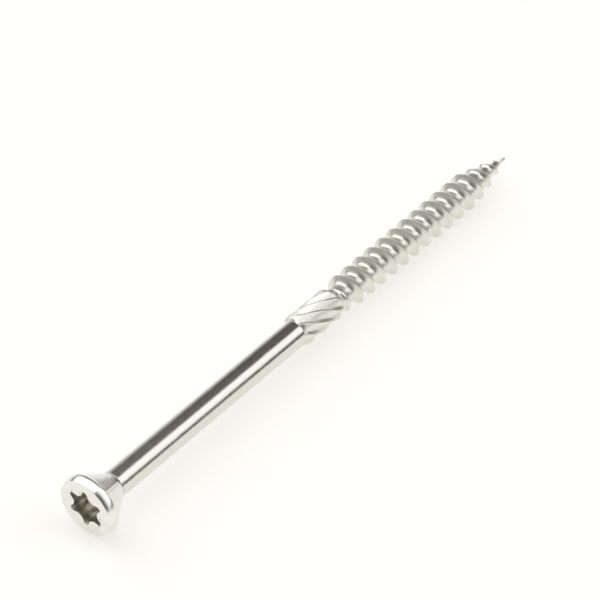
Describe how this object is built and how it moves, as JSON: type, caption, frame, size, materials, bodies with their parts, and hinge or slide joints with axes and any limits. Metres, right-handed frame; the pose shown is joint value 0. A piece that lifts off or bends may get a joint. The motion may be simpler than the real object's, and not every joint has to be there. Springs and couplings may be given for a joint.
{
  "type": "wood screw",
  "caption": "Long stainless wood screw with a countersunk six-lobe head, a plain shank, a spiral shank cutter, a coarse thread and a sharp point.",
  "frame": {"origin": "centre of the mouth of the drive recess, in the plane of the head's flat face", "axes": "+X along the screw's axis towards the tip; angles round the axis run from +Y towards +Z"},
  "size_m": [0.08, 0.008, 0.008],
  "materials": {
    "head_steel": "satin, as forged",
    "shank_steel": "bright drawn wire with fine lengthways lines",
    "thread_steel": "rolled, slightly dull"
  },
  "bodies": {
    "root": {"head": "head_steel", "shank": "shank_steel", "cutter": "thread_steel", "thread": "thread_steel", "point": "thread_steel"}
  },
  "joints": []
}
